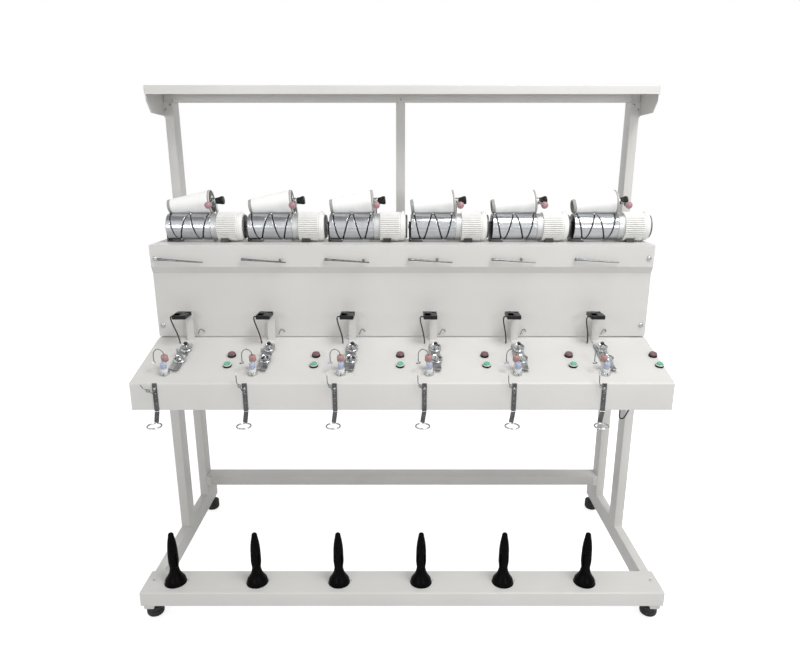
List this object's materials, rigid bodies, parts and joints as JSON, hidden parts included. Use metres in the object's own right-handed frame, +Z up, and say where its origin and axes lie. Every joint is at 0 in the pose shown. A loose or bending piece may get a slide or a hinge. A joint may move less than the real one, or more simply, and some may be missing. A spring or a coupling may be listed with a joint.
{
  "type": "yarn cone winder",
  "caption": "Free-standing yarn cone winder: tube frame, creel pegs, sloping console with tension units, grooved motor drums, lifting cone arms and push buttons.",
  "frame": {"origin": "on the floor under the middle of the machine's outer box", "axes": "+X along the heads to the operator's right, +Y away from the operator, +Z up"},
  "size_m": [2.018, 0.89, 2.013],
  "materials": {
    "coat": "warm light grey powder coat, satin",
    "gloss_black": "glossy black moulded plastic",
    "foot_rubber": "black rubber",
    "black_rubber": "black cable jacket",
    "bright": "bright chrome",
    "motor_paint": "off-white painted casting, satin",
    "black_plastic": "matt black plastic",
    "black_cast": "black painted casting",
    "dark_steel": "dark grey oxidised steel",
    "ceramic_white": "glossy white",
    "drum_metal": "polished aluminium",
    "paper": "smooth white cone board",
    "green": "green push button cap",
    "maroon": "brown push button cap"
  },
  "bodies": {
    "frame": {"base_side_tubes": "coat", "front_legs": "coat", "rear_posts": "coat", "centre_post": "coat", "frame_rails": "coat", "drum_beam": "coat", "top_shelf": "coat", "shelf_gussets": "coat", "creel_shelf": "coat", "creel_pegs": "gloss_black", "rubber_feet": "foot_rubber", "foot_studs": "bright", "console_shell": "coat", "console_floor": "coat", "back_panel": "coat", "motor_housings": "motor_paint", "motor_feet": "black_plastic", "bearing_brackets": "black_cast", "pivot_brackets": "black_cast", "sensor_boxes": "black_plastic", "sensor_brackets": "coat", "leads": "black_rubber", "tension_plates": "dark_steel", "tension_discs": "bright", "tension_spindles": "bright", "guide_posts": "ceramic_white", "wire_guides": "bright", "front_guides": "dark_steel", "button_bases": "black_plastic", "fasteners": "bright"},
    "drum_1": {"drum_1": "drum_metal"},
    "arm_1": {"arm_1": "bright"},
    "cone_1": {"cone_1": "paper"},
    "start_button_1": {"start_button_1": "green"},
    "stop_button_1": {"stop_button_1": "maroon"},
    "drum_2": {"drum_2": "drum_metal"},
    "arm_2": {"arm_2": "bright"},
    "cone_2": {"cone_2": "paper"},
    "start_button_2": {"start_button_2": "green"},
    "stop_button_2": {"stop_button_2": "maroon"},
    "drum_3": {"drum_3": "drum_metal"},
    "arm_3": {"arm_3": "bright"},
    "cone_3": {"cone_3": "paper"},
    "start_button_3": {"start_button_3": "green"},
    "stop_button_3": {"stop_button_3": "maroon"},
    "drum_4": {"drum_4": "drum_metal"},
    "arm_4": {"arm_4": "bright"},
    "cone_4": {"cone_4": "paper"},
    "start_button_4": {"start_button_4": "green"},
    "stop_button_4": {"stop_button_4": "maroon"},
    "drum_5": {"drum_5": "drum_metal"},
    "arm_5": {"arm_5": "bright"},
    "cone_5": {"cone_5": "paper"},
    "start_button_5": {"start_button_5": "green"},
    "stop_button_5": {"stop_button_5": "maroon"},
    "drum_6": {"drum_6": "drum_metal"},
    "arm_6": {"arm_6": "bright"},
    "cone_6": {"cone_6": "paper"},
    "start_button_6": {"start_button_6": "green"},
    "stop_button_6": {"stop_button_6": "maroon"}
  },
  "joints": [
    {"name": "drum_spin_1", "type": "hinge", "parent": "frame", "child": "drum_1", "pos_m": [-0.924, 0.038, 1.4785], "axis": [1, 0, 0], "continuous": true},
    {"name": "arm_lift_1", "type": "hinge", "parent": "frame", "child": "arm_1", "pos_m": [-0.7435, 0.11, 1.4955], "axis": [-1, 0, 0], "range_deg": [0, 45]},
    {"name": "cone_spin_1", "type": "hinge", "parent": "arm_1", "child": "cone_1", "pos_m": [-0.7435, 0.05521, 1.57608], "axis": [0.9934, 0.0199, 0.113], "continuous": true},
    {"name": "start_press_1", "type": "slide", "parent": "frame", "child": "start_button_1", "axis": [0, 0.2425, -0.9701], "range_m": [0, 0.004], "stiffness_N_per_m": 500, "springref_m": -0.004},
    {"name": "stop_press_1", "type": "slide", "parent": "frame", "child": "stop_button_1", "axis": [0, 0.2425, -0.9701], "range_m": [0, 0.004], "stiffness_N_per_m": 500, "springref_m": -0.004},
    {"name": "drum_spin_2", "type": "hinge", "parent": "frame", "child": "drum_2", "pos_m": [-0.604, 0.038, 1.4785], "axis": [1, 0, 0], "continuous": true},
    {"name": "arm_lift_2", "type": "hinge", "parent": "frame", "child": "arm_2", "pos_m": [-0.4235, 0.11, 1.4955], "axis": [-1, 0, 0], "range_deg": [0, 45]},
    {"name": "cone_spin_2", "type": "hinge", "parent": "arm_2", "child": "cone_2", "pos_m": [-0.4235, 0.05521, 1.57608], "axis": [0.9934, 0.0199, 0.113], "continuous": true},
    {"name": "start_press_2", "type": "slide", "parent": "frame", "child": "start_button_2", "axis": [0, 0.2425, -0.9701], "range_m": [0, 0.004], "stiffness_N_per_m": 500, "springref_m": -0.004},
    {"name": "stop_press_2", "type": "slide", "parent": "frame", "child": "stop_button_2", "axis": [0, 0.2425, -0.9701], "range_m": [0, 0.004], "stiffness_N_per_m": 500, "springref_m": -0.004},
    {"name": "drum_spin_3", "type": "hinge", "parent": "frame", "child": "drum_3", "pos_m": [-0.284, 0.038, 1.4785], "axis": [1, 0, 0], "continuous": true},
    {"name": "arm_lift_3", "type": "hinge", "parent": "frame", "child": "arm_3", "pos_m": [-0.1035, 0.11, 1.4955], "axis": [-1, 0, 0], "range_deg": [0, 45]},
    {"name": "cone_spin_3", "type": "hinge", "parent": "arm_3", "child": "cone_3", "pos_m": [-0.1035, 0.05521, 1.57608], "axis": [0.9934, 0.0199, 0.113], "continuous": true},
    {"name": "start_press_3", "type": "slide", "parent": "frame", "child": "start_button_3", "axis": [0, 0.2425, -0.9701], "range_m": [0, 0.004], "stiffness_N_per_m": 500, "springref_m": -0.004},
    {"name": "stop_press_3", "type": "slide", "parent": "frame", "child": "stop_button_3", "axis": [0, 0.2425, -0.9701], "range_m": [0, 0.004], "stiffness_N_per_m": 500, "springref_m": -0.004},
    {"name": "drum_spin_4", "type": "hinge", "parent": "frame", "child": "drum_4", "pos_m": [0.036, 0.038, 1.4785], "axis": [1, 0, 0], "continuous": true},
    {"name": "arm_lift_4", "type": "hinge", "parent": "frame", "child": "arm_4", "pos_m": [0.2165, 0.11, 1.4955], "axis": [-1, 0, 0], "range_deg": [0, 45]},
    {"name": "cone_spin_4", "type": "hinge", "parent": "arm_4", "child": "cone_4", "pos_m": [0.2165, 0.05521, 1.57608], "axis": [0.9934, 0.0199, 0.113], "continuous": true},
    {"name": "start_press_4", "type": "slide", "parent": "frame", "child": "start_button_4", "axis": [0, 0.2425, -0.9701], "range_m": [0, 0.004], "stiffness_N_per_m": 500, "springref_m": -0.004},
    {"name": "stop_press_4", "type": "slide", "parent": "frame", "child": "stop_button_4", "axis": [0, 0.2425, -0.9701], "range_m": [0, 0.004], "stiffness_N_per_m": 500, "springref_m": -0.004},
    {"name": "drum_spin_5", "type": "hinge", "parent": "frame", "child": "drum_5", "pos_m": [0.356, 0.038, 1.4785], "axis": [1, 0, 0], "continuous": true},
    {"name": "arm_lift_5", "type": "hinge", "parent": "frame", "child": "arm_5", "pos_m": [0.5365, 0.11, 1.4955], "axis": [-1, 0, 0], "range_deg": [0, 45]},
    {"name": "cone_spin_5", "type": "hinge", "parent": "arm_5", "child": "cone_5", "pos_m": [0.5365, 0.05521, 1.57608], "axis": [0.9934, 0.0199, 0.113], "continuous": true},
    {"name": "start_press_5", "type": "slide", "parent": "frame", "child": "start_button_5", "axis": [0, 0.2425, -0.9701], "range_m": [0, 0.004], "stiffness_N_per_m": 500, "springref_m": -0.004},
    {"name": "stop_press_5", "type": "slide", "parent": "frame", "child": "stop_button_5", "axis": [0, 0.2425, -0.9701], "range_m": [0, 0.004], "stiffness_N_per_m": 500, "springref_m": -0.004},
    {"name": "drum_spin_6", "type": "hinge", "parent": "frame", "child": "drum_6", "pos_m": [0.676, 0.038, 1.4785], "axis": [1, 0, 0], "continuous": true},
    {"name": "arm_lift_6", "type": "hinge", "parent": "frame", "child": "arm_6", "pos_m": [0.8565, 0.11, 1.4955], "axis": [-1, 0, 0], "range_deg": [0, 45]},
    {"name": "cone_spin_6", "type": "hinge", "parent": "arm_6", "child": "cone_6", "pos_m": [0.8565, 0.05521, 1.57608], "axis": [0.9934, 0.0199, 0.113], "continuous": true},
    {"name": "start_press_6", "type": "slide", "parent": "frame", "child": "start_button_6", "axis": [0, 0.2425, -0.9701], "range_m": [0, 0.004], "stiffness_N_per_m": 500, "springref_m": -0.004},
    {"name": "stop_press_6", "type": "slide", "parent": "frame", "child": "stop_button_6", "axis": [0, 0.2425, -0.9701], "range_m": [0, 0.004], "stiffness_N_per_m": 500, "springref_m": -0.004}
  ],
  "couplings": [
    {"joint": "cone_spin_1", "follows": "drum_spin_1", "ratio": -1.4545},
    {"joint": "cone_spin_2", "follows": "drum_spin_2", "ratio": -1.4545},
    {"joint": "cone_spin_3", "follows": "drum_spin_3", "ratio": -1.4545},
    {"joint": "cone_spin_4", "follows": "drum_spin_4", "ratio": -1.4545},
    {"joint": "cone_spin_5", "follows": "drum_spin_5", "ratio": -1.4545},
    {"joint": "cone_spin_6", "follows": "drum_spin_6", "ratio": -1.4545}
  ]
}
